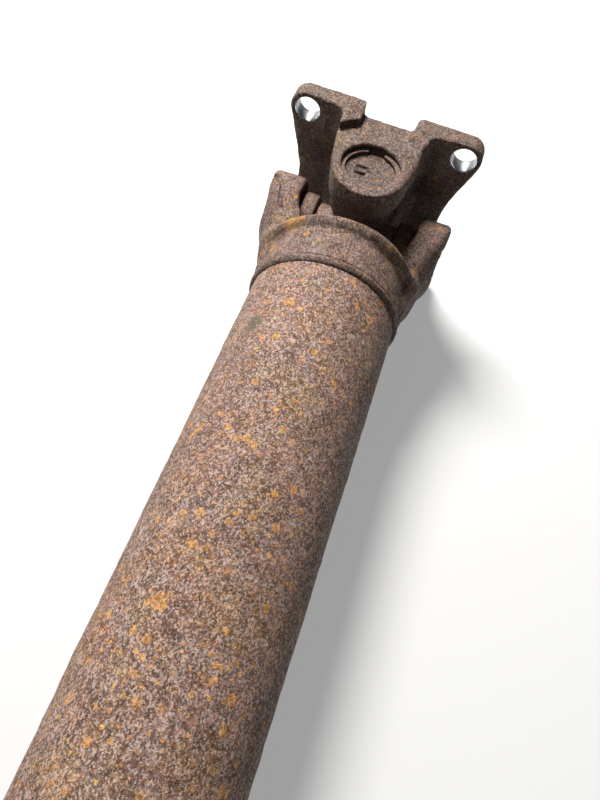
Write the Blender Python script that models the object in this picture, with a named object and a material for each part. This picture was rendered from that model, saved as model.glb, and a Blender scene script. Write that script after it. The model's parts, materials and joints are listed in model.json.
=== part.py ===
"""Universal joint shaft: a tubular propeller shaft with a cross joint and a flange yoke at each end.

The shaft lies along X. Its rear end (+X) has a tube yoke welded to the tube. Its front end (-X) has
a splined slip joint between the tube and the joint. Each joint is built once in its own frame, with
x pointing from the joint's centre to its flange, y along the pins of the shaft's yoke and z along
the pins of the flange yoke. Lengths are in millimetres and are scaled where the meshes are made.
"""
import math

import bmesh
import bpy
from mathutils import Euler, Matrix, Vector

MM = 0.001
FIT = 0.3                   # gap between two pieces that touch on the real shaft
JOIN = 1.0                  # how far two shapes run into each other before a union

# Whole shaft
CENTRES = 760.0             # from one joint centre to the other
TUBE_RADIUS = 38.1
TUBE_WALL = 2.1
TUBE_BORE = TUBE_RADIUS - TUBE_WALL
SPIGOT_RADIUS = TUBE_BORE - FIT
NECK_RADIUS = 38.2
BEAD_HALF = 2.4             # half the width of a weld bead
REAR_BEAD = 57.0            # from the rear joint's centre
FRONT_BEAD = 240.0          # from the front joint's centre

# Cross and bearings, along one arm from the joint's centre
TRUNNION_RADIUS = 9.8
TRUNNION_END = 43.3
SHOULDER_RADIUS = 13.0
SHOULDER_END = 22.0
CUP_RADIUS = 14.8
CUP_BORE = 12.5
CUP_MOUTH = 24.5
CUP_FLOOR = 43.65
CUP_END = 46.05
BORE_RADIUS = CUP_RADIUS + FIT
RING_GROOVE = (46.1, 48.2)
RING_GROOVE_RADIUS = 16.2
SEAL_RADIUS = 16.2
NIPPLE_BOSS = 22.7

# Yoke arms
LUG_OUTER = 50.65
LUG_INNER = 33.65
LUG_RADIUS = 22.2

# Flange yoke
FLANGE_BACK = 32.2
FLANGE_FACE = 42.0
PAD_HEIGHT = 54.5
NOTCH_HALF = 14.0
NOTCH_FLOOR = 35.0
SPOT_FACE_RADIUS = 29.2
BOLT_Y = 43.3
BOLT_Z = 45.3
BOLT_RADIUS = 6.6
EAR_RADIUS = PAD_HEIGHT - BOLT_Z
WAIST_HALF = 43.2
SCALLOP_RADIUS = 35.2       # room for the other yoke's arms to swing past the flange
SADDLE_X = 27.0
PILOT_RADIUS = 30.0
PILOT_FLOOR = 39.0

# Slip joint, measured back from the front joint's centre
SPLINE_TEETH = 16
SLEEVE_RADIUS = 25.0
SLEEVE_END = 165.0
PLUG_SEAT = 46.0
SPLINE_START = 80.0
SPLINE_END = 193.0
MALE_TIP = 18.5
MALE_ROOT = 16.5
FEMALE_TIP = 16.9
FEMALE_ROOT = 18.8

FINE = 40                   # facets round the tube
ROUND = 24                  # facets round the bores and cups
SMALL = 16                  # facets round the small hidden pieces

# colour, metallic, roughness
FINISHES = {
    "rusted_tube": ((0.30, 0.20, 0.155), 0.25, 0.88),
    "rusted_forging": ((0.25, 0.165, 0.13), 0.25, 0.90),
    "weld_metal": ((0.17, 0.10, 0.08), 0.35, 0.85),
    "bearing_steel": ((0.27, 0.17, 0.13), 0.6, 0.7),
    "ground_steel": ((0.55, 0.55, 0.56), 0.95, 0.30),
    "seal_rubber": ((0.03, 0.028, 0.027), 0.0, 0.75),
    "plated_steel": ((0.45, 0.40, 0.30), 0.85, 0.45),
}


def clear_scene():
    for old in list(bpy.data.objects):
        bpy.data.objects.remove(old, do_unlink=True)


def finish(name):
    """Return the Principled material of one kind of surface."""
    found = bpy.data.materials.get(name)
    if found:
        return found
    colour, metallic, roughness = FINISHES[name]
    material = bpy.data.materials.new(name)
    material.use_nodes = True
    shader = material.node_tree.nodes["Principled BSDF"]
    shader.inputs["Base Color"].default_value = (*colour, 1.0)
    shader.inputs["Metallic"].default_value = metallic
    shader.inputs["Roughness"].default_value = roughness
    return material


def solid(name, bm):
    """Turn a bmesh, drawn in millimetres, into an object in metres."""
    bmesh.ops.scale(bm, vec=(MM, MM, MM), verts=bm.verts)
    bmesh.ops.remove_doubles(bm, verts=bm.verts, dist=1e-6)
    bmesh.ops.recalc_face_normals(bm, faces=bm.faces)
    mesh = bpy.data.meshes.new(name)
    bm.to_mesh(mesh)
    bm.free()
    made = bpy.data.objects.new(name, mesh)
    bpy.context.collection.objects.link(made)
    return made


def arc(centre, radius, start, end, steps):
    """Points on an arc from one angle to another, in degrees, ends included."""
    angles = [math.radians(start + (end - start) * i / steps) for i in range(steps + 1)]
    return [(centre[0] + radius * math.cos(a), centre[1] + radius * math.sin(a)) for a in angles]


def turned(name, profile, segments, axis="X"):
    """Spin a profile of (along, radius) points. It is closed unless both its ends are on the axis."""
    along, out = {"X": ((1, 0, 0), (0, 0, 1)), "Y": ((0, 1, 0), (0, 0, 1)), "Z": ((0, 0, 1), (1, 0, 0))}[axis]
    along, out = Vector(along), Vector(out)
    bm = bmesh.new()
    verts = [bm.verts.new(along * a + out * r) for a, r in profile]
    edges = [bm.edges.new(pair) for pair in zip(verts, verts[1:])]
    if profile[0][1] > 0 or profile[-1][1] > 0:
        edges.append(bm.edges.new((verts[-1], verts[0])))
    bmesh.ops.spin(bm, geom=verts + edges, cent=(0, 0, 0), axis=along, angle=2 * math.pi, steps=segments,
                   use_merge=True)
    return solid(name, bm)


def prism(name, outline, axis, low, high):
    """Extrude an outline along an axis. Its points are (y, z), (x, z) or (x, y)."""
    place = {
        "X": lambda p, h: (h, p[0], p[1]),
        "Y": lambda p, h: (p[0], h, p[1]),
        "Z": lambda p, h: (p[0], p[1], h),
    }[axis]
    bm = bmesh.new()
    base = bm.faces.new([bm.verts.new(place(p, low)) for p in outline])
    grown = bmesh.ops.extrude_face_region(bm, geom=[base])
    moved = [item for item in grown["geom"] if isinstance(item, bmesh.types.BMVert)]
    bmesh.ops.translate(bm, verts=moved, vec=Vector(place((0, 0), high - low)))
    return solid(name, bm)


def loft(name, rings, closed=False):
    """Skin a row of rings that all have the same number of points."""
    bm = bmesh.new()
    rows = [[bm.verts.new(p) for p in ring] for ring in rings]
    pairs = list(zip(rows, rows[1:]))
    if closed:
        pairs.append((rows[-1], rows[0]))
    else:
        bm.faces.new(rows[0])
        bm.faces.new(rows[-1])
    count = len(rows[0])
    for a, b in pairs:
        for i in range(count):
            j = (i + 1) % count
            bm.faces.new((a[i], a[j], b[j], b[i]))
    return solid(name, bm)


def combine(target, tool, operation):
    """Apply a Boolean to the target and drop the tool."""
    cut = target.modifiers.new(operation.lower(), "BOOLEAN")
    cut.operation = operation
    cut.solver = "EXACT"
    cut.object = tool
    bpy.context.view_layer.update()
    shaped = target.evaluated_get(bpy.context.evaluated_depsgraph_get())
    result = bpy.data.meshes.new_from_object(shaped)
    target.modifiers.remove(cut)
    target.data = result
    bpy.data.objects.remove(tool, do_unlink=True)
    return target


def union(target, *tools):
    for tool in tools:
        combine(target, tool, "UNION")
    return target


def cut_away(target, *tools):
    for tool in tools:
        combine(target, tool, "DIFFERENCE")
    return target


def turn(made, degrees):
    """Turn a tool about the x axis, in its mesh."""
    made.data.transform(Euler((math.radians(degrees), 0, 0)).to_matrix().to_4x4())
    return made


def arm_of_shaft_yoke(side, root):
    """One arm of the yoke on the shaft: a round lug end, a bevelled shank and a gusset at its root."""
    stations = []
    for degrees in (87, 70, 52, 34, 17):
        x = LUG_RADIUS * math.sin(math.radians(degrees))
        top = LUG_RADIUS * math.cos(math.radians(degrees))
        stations.append((x, LUG_INNER, LUG_OUTER - 1.2, LUG_OUTER, top, 0.92 * top))
    # x, inner y, y of the shank's upper edge, outer y, upper z, z where the outer bevel ends
    stations += [
        (0.0, LUG_INNER, LUG_OUTER - 1.2, LUG_OUTER, LUG_RADIUS, 20.0),
        (-8.0, LUG_INNER, 47.4, LUG_OUTER - 0.2, 21.2, 14.0),
        (-16.0, 31.8, 43.6, 49.2, 19.6, 9.5),
        (-24.0, 27.5, 38.0, 46.4, 18.0, 7.0),
        (-33.0, 27.0, 36.0, 42.6, 16.0, 5.5),
    ] + root
    rings = []
    for x, inner, edge, outer, top, low in stations:
        half = [(inner, top), (edge, top), (outer, low)]
        ring = half + [(y, -z) for y, z in reversed(half)]
        rings.append([(x, side * y, z) for y, z in ring])
    return loft("arm", rings)


def bore_cutter(axis, sign, face):
    """The hole for a bearing cup, with its snap ring groove and a small mouth chamfer."""
    groove_in, groove_out = RING_GROOVE
    lip = 0.7
    profile = [
        (0.0, 0.0), (0.0, BORE_RADIUS), (groove_in, BORE_RADIUS), (groove_in, RING_GROOVE_RADIUS),
        (groove_out, RING_GROOVE_RADIUS), (groove_out, BORE_RADIUS), (face - lip, BORE_RADIUS),
        (face + JOIN, BORE_RADIUS + lip + JOIN), (face + JOIN, 0.0),
    ]
    profile = [(max(along, LUG_INNER - 6.0), radius) for along, radius in profile]
    return turned("bore", [(sign * along, radius) for along, radius in profile], ROUND, axis)


def fork(base, root):
    """Give a turned base its two arms and bore them."""
    for side in (1, -1):
        union(base, arm_of_shaft_yoke(side, root))
    for side in (1, -1):
        cut_away(base, bore_cutter("Y", side, LUG_OUTER))
    return base


RIM = [
    (-34.6, 24.0), (-34.6, 33.0), (-33.4, 37.0), (-31.2, 39.6), (-30.8, 40.9), (-31.4, 41.7),
    (-32.6, 41.8), (-34.2, 40.9), (-36.0, 39.0),
]


def weld_yoke():
    neck_end = -(REAR_BEAD - BEAD_HALF - FIT)
    profile = [(-34.6, 0.0)] + RIM + [
        (-36.8, NECK_RADIUS), (neck_end, NECK_RADIUS), (neck_end, SPIGOT_RADIUS), (-78.0, SPIGOT_RADIUS),
        (-78.0, 31.0), (-48.0, 31.0), (-44.5, 27.0), (-44.5, 0.0),
    ]
    gusset = [(-43.0, 33.0, 36.0, 39.6, 11.0, 4.5), (-52.0, 35.0, 36.0, 37.9, 6.0, 2.5)]
    return fork(turned("weld_yoke", profile, FINE), gusset)


def spline_outline(tip, root, tooth_share):
    """A ring of trapezoid teeth: tip and root radius, and the share of the pitch that a tooth takes."""
    pitch = 2 * math.pi / SPLINE_TEETH
    flank = 0.06 * pitch
    points = []
    for tooth in range(SPLINE_TEETH):
        middle = tooth * pitch
        half = tooth_share * pitch / 2
        for angle, radius in ((-half - flank, root), (-half + flank, tip), (half - flank, tip),
                              (half + flank, root)):
            points.append((radius * math.cos(middle + angle), radius * math.sin(middle + angle)))
    return points


def slip_yoke():
    profile = [(-34.6, 0.0)] + RIM[:7] + [
        (-36.0, 40.8), (-42.0, 37.8), (-50.0, 31.0), (-57.0, 26.6), (-63.0, SLEEVE_RADIUS),
        (-SLEEVE_END, SLEEVE_RADIUS), (-SLEEVE_END, 0.0),
    ]
    body = fork(turned("slip_yoke", profile, FINE), [(-38.0, 30.0, 36.0, 39.6, 11.0, 4.5)])
    seat = turned("seat", [(-20.0, 0.0), (-20.0, 20.3), (-PLUG_SEAT, 20.3), (-PLUG_SEAT, 0.0)], ROUND)
    teeth = spline_outline(FEMALE_ROOT, FEMALE_TIP, 0.5435)
    bore = prism("bore", teeth, "X", -SLEEVE_END - 5, -PLUG_SEAT + JOIN)
    return cut_away(body, seat, bore)


def spline_shaft():
    neck_end = -(FRONT_BEAD - BEAD_HALF - FIT)
    profile = [
        (-SPLINE_END + JOIN, 0.0), (-SPLINE_END + JOIN, MALE_ROOT - 0.2),
        (-SPLINE_END - JOIN, MALE_TIP - 0.1), (-203.0, MALE_TIP - 0.1),
        (-207.0, 21.0), (-231.0, 37.2), (-234.0, NECK_RADIUS),
        (neck_end, NECK_RADIUS), (neck_end, SPIGOT_RADIUS), (-258.0, SPIGOT_RADIUS), (-258.0, 30.0),
        (-244.0, 30.0), (-232.0, 20.0), (-228.0, 12.0), (-228.0, 0.0),
    ]
    teeth = prism("teeth", spline_outline(MALE_TIP, MALE_ROOT, 0.4565), "X", -SPLINE_END, -SPLINE_START)
    return union(turned("spline_shaft", profile, FINE), teeth)


def flange_outline():
    """The flange seen along the shaft: a quarter, from the waist up and over a pad, mirrored both ways."""
    quarter = [(WAIST_HALF, 0.0), (WAIST_HALF + 0.2, 8.0), (44.6, 16.5), (48.4, 29.5)]
    quarter += arc((BOLT_Y, BOLT_Z), EAR_RADIUS, -16, 90, 8)
    quarter += [(NOTCH_HALF, PAD_HEIGHT), (NOTCH_HALF, LUG_OUTER)]
    left = [(-y, z) for y, z in reversed(quarter[1:])]
    lower = [(-y, -z) for y, z in quarter]
    right = [(y, -z) for y, z in reversed(quarter[1:])]
    return quarter + left + lower + right


def flange_lug(sign):
    """One arm of the flange yoke, up to the level of the pads."""
    side = [(FLANGE_BACK + JOIN, 29.5), (30.6, 26.0), (27.0, 23.4), (16.0, 22.6), (4.0, 20.9)]
    nose = [(-3.8, 19.5), (-10.5, 17.2), (-16.3, 13.2), (-20.6, 7.6), (-22.3, 0.0)]
    half = side + nose
    outline = half + [(x, -y) for x, y in reversed(half[:-1])]
    low, high = sorted((sign * LUG_INNER, sign * PAD_HEIGHT))
    return prism("lug", outline, "Z", low, high)


def spot_face_cutter(sign):
    """Mills the arm's face down to its seat and leaves the two pads standing proud."""
    low, high = sorted((sign * LUG_OUTER, sign * (PAD_HEIGHT + 5)))
    disc = prism("disc", arc((0, 0), SPOT_FACE_RADIUS, 0, 360 - 360 / FINE, FINE - 1), "Z", low, high)
    near, far = SPOT_FACE_RADIUS - 9.0, NOTCH_FLOOR + JOIN
    slot = prism("slot", [(near, -NOTCH_HALF), (far, -NOTCH_HALF), (far, NOTCH_HALF), (near, NOTCH_HALF)],
                 "Z", low, high)
    return disc, slot


def notch_cutter(sign):
    """The rounded notch in the mating face at one arm."""
    deep, soft = 3.5, 2.0
    half = [(NOTCH_FLOOR, 0.0)]
    half += arc((NOTCH_FLOOR + deep, NOTCH_HALF - deep), deep, 180, 90, 4)
    half += arc((FLANGE_FACE - soft, NOTCH_HALF + soft), soft, -90, 0, 4)
    half += [(FLANGE_FACE + 5, NOTCH_HALF + soft)]
    outline = half + [(x, -y) for x, y in reversed(half[1:])]
    low, high = sorted((sign * 24.0, sign * (PAD_HEIGHT + 5)))
    return prism("notch", outline, "Z", low, high)


def saddle():
    """The thick floor between the two arms, with a fillet up each arm."""
    fillet = 8.0
    half = [(SADDLE_X, 0.0)] + arc((SADDLE_X - fillet, LUG_INNER - fillet), fillet, 0, 90, 4)
    half += [(SADDLE_X - fillet, LUG_INNER + JOIN), (FLANGE_BACK + JOIN, LUG_INNER + JOIN)]
    outline = half + [(x, -z) for x, z in reversed(half[1:])]
    return prism("saddle", outline, "Y", -21.0, 21.0)


def bolt_hole(y, z):
    """The cutter for a bolt hole that is chamfered at both ends."""
    chamfer, beyond = 0.8, 2.0
    mouth = BOLT_RADIUS + chamfer + beyond
    profile = [
        (FLANGE_BACK - beyond, 0.0), (FLANGE_BACK - beyond, mouth), (FLANGE_BACK + chamfer, BOLT_RADIUS),
        (FLANGE_FACE - chamfer, BOLT_RADIUS), (FLANGE_FACE + beyond, mouth), (FLANGE_FACE + beyond, 0.0),
    ]
    cutter = turned("hole", profile, SMALL)
    cutter.data.transform(Matrix.Translation((0, y * MM, z * MM)))
    return cutter


def flange_yoke():
    body = prism("flange_yoke", flange_outline(), "X", FLANGE_BACK, FLANGE_FACE)
    union(body, saddle(), flange_lug(1), flange_lug(-1))
    for sign in (1, -1):
        cut_away(body, *spot_face_cutter(sign), notch_cutter(sign), bore_cutter("Z", sign, LUG_OUTER))
        scallop = turned("scallop", [(sign * 26.0, 0.0), (sign * 26.0, SCALLOP_RADIUS),
                                     (sign * 60.0, SCALLOP_RADIUS), (sign * 60.0, 0.0)], FINE, "Y")
        cut_away(body, scallop)
        for side in (1, -1):
            cut_away(body, bolt_hole(side * BOLT_Y, sign * BOLT_Z))
    beyond = FLANGE_FACE + 5
    pilot = [(PILOT_FLOOR, 0.0), (PILOT_FLOOR, PILOT_RADIUS), (beyond, PILOT_RADIUS), (beyond, 0.0)]
    return cut_away(body, turned("pilot", pilot, FINE))


def spider():
    """The cross: four trunnions on a body, with a boss for the grease nipple."""
    half = [(SHOULDER_END, SHOULDER_RADIUS), (SHOULDER_END, TRUNNION_RADIUS),
            (TRUNNION_END - 0.8, TRUNNION_RADIUS), (TRUNNION_END, TRUNNION_RADIUS - 0.8), (TRUNNION_END, 0.0)]
    profile = [(-along, radius) for along, radius in reversed(half)] + half
    body = turned("spider", profile, SMALL, "Z")
    arms = turned("arms", profile, SMALL, "Y")
    inside, radius = 5.0, 5.2
    stub = [(inside, 0.0), (inside, radius), (NIPPLE_BOSS, radius), (NIPPLE_BOSS, 0.0)]
    return union(body, arms, turn(turned("boss", stub, 12, "Z"), 135))


def grease_nipple(start):
    """A nipple along +z: hexagon, neck and ball."""
    hexagon = arc((0, 0), 4.2, 0, 300, 5)
    body = prism("grease_nipple", hexagon, "Z", start, start + 2.6)
    stem = [(start + 2, 0.0), (start + 2, 2.4), (start + 4.6, 2.2), (start + 5.2, 3.1), (start + 6.6, 3.1),
            (start + 7.6, 1.8), (start + 7.6, 0.0)]
    return union(body, turned("stem", stem, 12, "Z"))


def bearing_cup():
    profile = [(CUP_FLOOR, 0.0), (CUP_FLOOR, CUP_BORE), (CUP_MOUTH, CUP_BORE), (CUP_MOUTH, CUP_RADIUS),
               (CUP_END - 0.8, CUP_RADIUS), (CUP_END, CUP_RADIUS - 0.8), (CUP_END, 0.0)]
    return turned("bearing_cup", profile, ROUND, "Z")


def needle_set():
    """The needles round one trunnion, drawn as one fluted sleeve."""
    start, end = CUP_MOUTH + 0.5, CUP_FLOOR - 0.5
    inner, outer, flute = TRUNNION_RADIUS + FIT, CUP_BORE - FIT, 0.35
    rings = []
    for i in range(SMALL):
        angle = 2 * math.pi * i / SMALL
        far = outer - flute * (i % 2)
        section = ((inner, start), (far, start), (far, end), (inner, end))
        rings.append([(r * math.cos(angle), r * math.sin(angle), z) for r, z in section])
    return loft("needle_set", rings, closed=True)


def snap_ring():
    """An open spring ring in its groove, just outside the cup."""
    start, end = CUP_END + FIT, RING_GROOVE[1] - FIT
    inner, outer, gap, steps = 12.9, RING_GROOVE_RADIUS - FIT, 18.0, 18
    rings = []
    for i in range(steps + 1):
        angle = math.radians(gap + (360 - 2 * gap) * i / steps)
        section = ((inner, start), (outer, start), (outer, end), (inner, end))
        rings.append([(r * math.cos(angle), r * math.sin(angle), z) for r, z in section])
    return loft("snap_ring", rings)


def trunnion_seal():
    """The dust seal over the mouth of one cup."""
    wall_start, wall_end, skirt_end = SHOULDER_END + FIT, CUP_MOUTH - 0.4, 30.5
    inner, skirt_inner = TRUNNION_RADIUS + FIT, CUP_RADIUS + 0.5
    profile = [(wall_start, inner), (wall_start, SEAL_RADIUS), (skirt_end, SEAL_RADIUS),
               (skirt_end, skirt_inner), (wall_end, skirt_inner), (wall_end, inner)]
    return turned("trunnion_seal", profile, SMALL, "Z")


def weld_bead():
    """A low hump round the shaft, with its root down to the tube's bore."""
    crown, root_half = 1.8, 1.6
    hump = [(-BEAD_HALF, 0.1), (-0.6 * BEAD_HALF, 0.8 * crown), (0.0, crown), (0.6 * BEAD_HALF, 0.8 * crown),
            (BEAD_HALF, 0.1)]
    root = [(root_half, TUBE_BORE), (-root_half, TUBE_BORE)]
    return turned("weld_bead", [(x, TUBE_RADIUS + rise) for x, rise in hump] + root, FINE)


def propeller_tube(length):
    profile = [(0.0, TUBE_BORE), (length, TUBE_BORE), (length, TUBE_RADIUS), (0.0, TUBE_RADIUS)]
    return turned("propeller_tube", profile, FINE)


def balance_weight():
    """A small plate curved to the tube."""
    length, thickness, spread, steps = 30.0, 2.4, 17.0, 6
    low, high = TUBE_RADIUS + FIT, TUBE_RADIUS + FIT + thickness
    rings = []
    for i in range(steps + 1):
        angle = math.radians(-spread + 2 * spread * i / steps)
        section = ((-length / 2, low), (length / 2, low), (length / 2, high), (-length / 2, high))
        rings.append([(x, r * math.sin(angle), r * math.cos(angle)) for x, r in section])
    return loft("balance_weight", rings)


def dust_cap():
    profile = [(-158.0, 25.3), (-158.0, 28.0), (-174.4, 28.0), (-175.0, 27.4), (-175.0, 19.6), (-172.6, 19.6),
               (-172.6, 25.3)]
    return turned("dust_cap", profile, FINE)


def spline_seal():
    profile = [(-165.4, 19.0), (-165.4, 24.9), (-172.2, 24.9), (-172.2, 19.0)]
    return turned("spline_seal", profile, ROUND)


def core_plug():
    profile = [(-PLUG_SEAT + FIT, 0.0), (-PLUG_SEAT + FIT, 20.0), (-PLUG_SEAT + 2.6, 20.0),
               (-PLUG_SEAT + 3.8, 12.0), (-PLUG_SEAT + 4.2, 0.0)]
    return turned("core_plug", profile, ROUND)


def keep(made, name, surface, parent, place=(0, 0, 0), degrees=(0, 0, 0)):
    """Name a finished piece, give it its material and put it on its parent."""
    made.name = name
    made.data.materials.clear()
    made.data.materials.append(finish(surface))
    made.data.shade_smooth()
    made.data.set_sharp_from_angle(angle=math.radians(30))
    made.parent = parent
    made.location = Vector(place) * MM
    made.rotation_euler = Euler([math.radians(d) for d in degrees])
    return made


def copy_of(made, name, parent, place=(0, 0, 0), degrees=(0, 0, 0)):
    """A second piece that shares the first one's mesh."""
    twin = bpy.data.objects.new(name, made.data)
    bpy.context.collection.objects.link(twin)
    twin.parent = parent
    twin.location = Vector(place) * MM
    twin.rotation_euler = Euler([math.radians(d) for d in degrees])
    return twin


def joint_frame(name, x, degrees):
    frame = bpy.data.objects.new(name, None)
    bpy.context.collection.objects.link(frame)
    frame.location = (x * MM, 0, 0)
    frame.rotation_euler = (0, 0, math.radians(degrees))
    return frame


# Which way each arm of a cross turns from +z, and which yoke holds its bearing
ARMS = {
    "shaft_left": -90, "shaft_right": 90,
    "flange_top": 0, "flange_bottom": 180,
}


def build_joints(rear, front):
    """Make every piece that both joints have, once, and copy it to the other joint."""
    first = {
        "flange_yoke": (flange_yoke(), "rusted_forging", 0),
        "spider": (spider(), "ground_steel", 0),
        "spider_nipple": (grease_nipple(NIPPLE_BOSS + FIT), "plated_steel", 135),
    }
    for name, (made, surface, degrees) in first.items():
        keep(made, f"rear_{name}", surface, rear, degrees=(degrees, 0, 0))
        copy_of(made, f"front_{name}", front, degrees=(degrees, 0, 0))
    kinds = {
        "cup": (bearing_cup(), "bearing_steel"),
        "needles": (needle_set(), "ground_steel"),
        "snap_ring": (snap_ring(), "bearing_steel"),
        "seal": (trunnion_seal(), "seal_rubber"),
    }
    for kind, (made, surface) in kinds.items():
        master = None
        for end, frame in (("rear", rear), ("front", front)):
            for arm, degrees in ARMS.items():
                name = f"{end}_{kind}_{arm}"
                if master is None:
                    master = keep(made, name, surface, frame, degrees=(degrees, 0, 0))
                else:
                    copy_of(master, name, frame, degrees=(degrees, 0, 0))


def build_shaft(rear, front):
    """The tube with what is welded to it, and the sliding half of the slip joint."""
    start = -CENTRES / 2 + FRONT_BEAD + BEAD_HALF + FIT
    end = CENTRES / 2 - REAR_BEAD - BEAD_HALF - FIT
    keep(propeller_tube(end - start), "propeller_tube", "rusted_tube", None, (start, 0, 0))
    keep(weld_yoke(), "weld_yoke", "rusted_forging", rear)
    bead = keep(weld_bead(), "rear_weld_bead", "weld_metal", rear, (-REAR_BEAD, 0, 0))
    copy_of(bead, "front_weld_bead", front, (-FRONT_BEAD, 0, 0))
    keep(spline_shaft(), "spline_shaft", "ground_steel", front)
    weight = keep(balance_weight(), "rear_balance_weight", "rusted_tube", None, (255.0, 0, 0), (165, 0, 0))
    copy_of(weight, "front_balance_weight", None, (-95.0, 0, 0), (-130, 0, 0))
    keep(slip_yoke(), "slip_yoke", "rusted_forging", front)
    keep(core_plug(), "core_plug", "plated_steel", front)
    keep(spline_seal(), "spline_seal", "seal_rubber", front)
    keep(dust_cap(), "dust_cap", "plated_steel", front)
    nipple = grease_nipple(SLEEVE_RADIUS + FIT)
    keep(nipple, "sleeve_nipple", "plated_steel", front, (-100.0, 0, 0), (35, 0, 0))


def main():
    clear_scene()
    rear = joint_frame("rear_joint", CENTRES / 2, 0)
    front = joint_frame("front_joint", -CENTRES / 2, 180)
    build_shaft(rear, front)
    build_joints(rear, front)


main()
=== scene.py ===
"""Looks of the universal joint shaft: forged yokes, rusted tube, joints and slip joint.

Each joint is drawn in its own frame, in millimetres: x from the joint's centre to its flange, y along the
pins of the shaft's yoke, z along the pins of the flange yoke. Forgings are solid fields (signed distances on
a grid), so that their shapes run into each other with fillets. They are then skinned with one mesh.
"""
import json
import math

import bpy
import numpy as np
from mathutils import Matrix, Vector


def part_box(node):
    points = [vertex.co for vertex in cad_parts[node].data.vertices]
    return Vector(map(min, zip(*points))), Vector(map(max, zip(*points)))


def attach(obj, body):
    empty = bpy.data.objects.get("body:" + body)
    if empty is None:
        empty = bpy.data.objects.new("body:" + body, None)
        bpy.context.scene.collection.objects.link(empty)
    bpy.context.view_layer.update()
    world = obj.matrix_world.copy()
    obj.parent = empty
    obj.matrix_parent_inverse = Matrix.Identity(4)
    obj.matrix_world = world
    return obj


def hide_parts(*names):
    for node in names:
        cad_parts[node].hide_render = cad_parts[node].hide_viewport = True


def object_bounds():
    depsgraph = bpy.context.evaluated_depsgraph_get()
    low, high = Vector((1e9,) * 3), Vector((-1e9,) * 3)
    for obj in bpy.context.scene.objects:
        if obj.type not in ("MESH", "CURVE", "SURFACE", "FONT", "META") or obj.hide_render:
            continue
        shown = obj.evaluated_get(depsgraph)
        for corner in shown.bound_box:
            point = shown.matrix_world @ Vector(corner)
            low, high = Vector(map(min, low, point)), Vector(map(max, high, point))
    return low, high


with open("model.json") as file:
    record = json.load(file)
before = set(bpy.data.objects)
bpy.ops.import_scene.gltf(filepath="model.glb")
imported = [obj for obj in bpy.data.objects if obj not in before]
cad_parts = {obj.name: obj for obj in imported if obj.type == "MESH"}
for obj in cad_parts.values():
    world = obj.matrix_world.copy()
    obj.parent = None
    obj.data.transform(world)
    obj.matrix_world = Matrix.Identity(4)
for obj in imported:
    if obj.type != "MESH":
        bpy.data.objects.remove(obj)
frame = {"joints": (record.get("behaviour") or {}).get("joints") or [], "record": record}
cad_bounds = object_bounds()

MM = 0.001
JOINTS = {joint["name"]: joint for joint in frame["joints"]}
REAR, FRONT = (JOINTS[name]["pos_m"][0] / MM for name in ("rear_cross_swing", "front_cross_swing"))


def span(node, axis):
    """The lowest and highest coordinate of a CAD node along one axis, in millimetres."""
    low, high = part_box(node)
    return low[axis] / MM, high[axis] / MM


X, Y, Z = 0, 1, 2

# Sizes that the CAD nodes give
TUBE_RADIUS = span("propeller_tube", Z)[1]
TUBE_ENDS = span("propeller_tube", X)
LUG_OUTER = span("weld_yoke", Y)[1]
PAD_HEIGHT = span("rear_flange_yoke", Z)[1]
FLANGE_FACE = span("rear_flange_yoke", X)[1] - REAR
EAR_HALF = span("rear_flange_yoke", Y)[1]
CUP_END = span("rear_cup_flange_top", Z)[1]
CUP_MOUTH = span("rear_cup_flange_top", Z)[0]
CUP_RADIUS = span("rear_cup_flange_top", X)[1] - REAR

# Sizes inside those boxes, after the CAD's
LUG_INNER = 33.65       # inner face of the flange yoke's lugs
ARM_INNER = 32.9        # inner face of a shaft yoke's arms
LUG_RADIUS = 22.2       # round end of those arms
BORE_RADIUS = 15.1
GROOVE_RADIUS = 16.2    # snap ring groove
GROOVE_MIDDLE = 47.15
GROOVE_HALF = 1.05
FLANGE_BACK = 32.2
BOLT_Y = 43.3
BOLT_Z = 45.3
BOLT_RADIUS = 6.6
NOTCH_HALF = 14.0       # the notch between two pads
NOTCH_FLOOR = 35.0
SPOT_FACE_RADIUS = 29.2
SADDLE_X = 27.0         # floor between the flange yoke's lugs
WAIST_HALF = 43.2
SCALLOP_RADIUS = 35.2   # room for the other yoke's arms
PILOT_RADIUS = 30.0
PILOT_FLOOR = 39.0
FORK_FLOOR = -34.6      # floor between a shaft yoke's arms
NECK_RADIUS = 38.2      # the necks beside the weld beads
SPIGOT_RADIUS = 35.7    # the end of each neck, inside the tube
SPIGOT_BORE = 31.0
SLEEVE_RADIUS = 25.0
SLEEVE_BORE = 19.6      # plain, and clear of the spline shaft's teeth
FIT = 0.3               # gap between two pieces that touch on the real shaft
SCALE = 0.3             # how far the rusted skin of a forging stands out from the clean metal

STEP = 0.7       # grid step of the forgings in view
FAR_STEP = 0.9   # grid step of those at the far end


# ---------------------------------------------------------------- solid fields

def smooth_min(a, b, width):
    """Union with a fillet."""
    mix = np.clip(0.5 + 0.5 * (b - a) / width, 0.0, 1.0)
    return b + (a - b) * mix - width * mix * (1.0 - mix)


def smooth_max(a, b, width):
    """Intersection with a rounded edge."""
    return -smooth_min(-a, -b, width)


def cut(body, tool, width):
    """Take a tool away from a body, with a rounded edge."""
    return smooth_max(body, -tool, width)


def arc(centre, radius, start, end, steps):
    """Points on an arc, from one angle in degrees to another."""
    angles = np.radians(np.linspace(start, end, steps + 1))
    return [(centre[0] + radius * math.cos(a), centre[1] + radius * math.sin(a)) for a in angles]


def mirrored(half):
    """Close an outline that starts and may end on the first axis."""
    back = [(a, -b) for a, b in reversed(half) if abs(b) > 1e-9]
    return half + back


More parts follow.
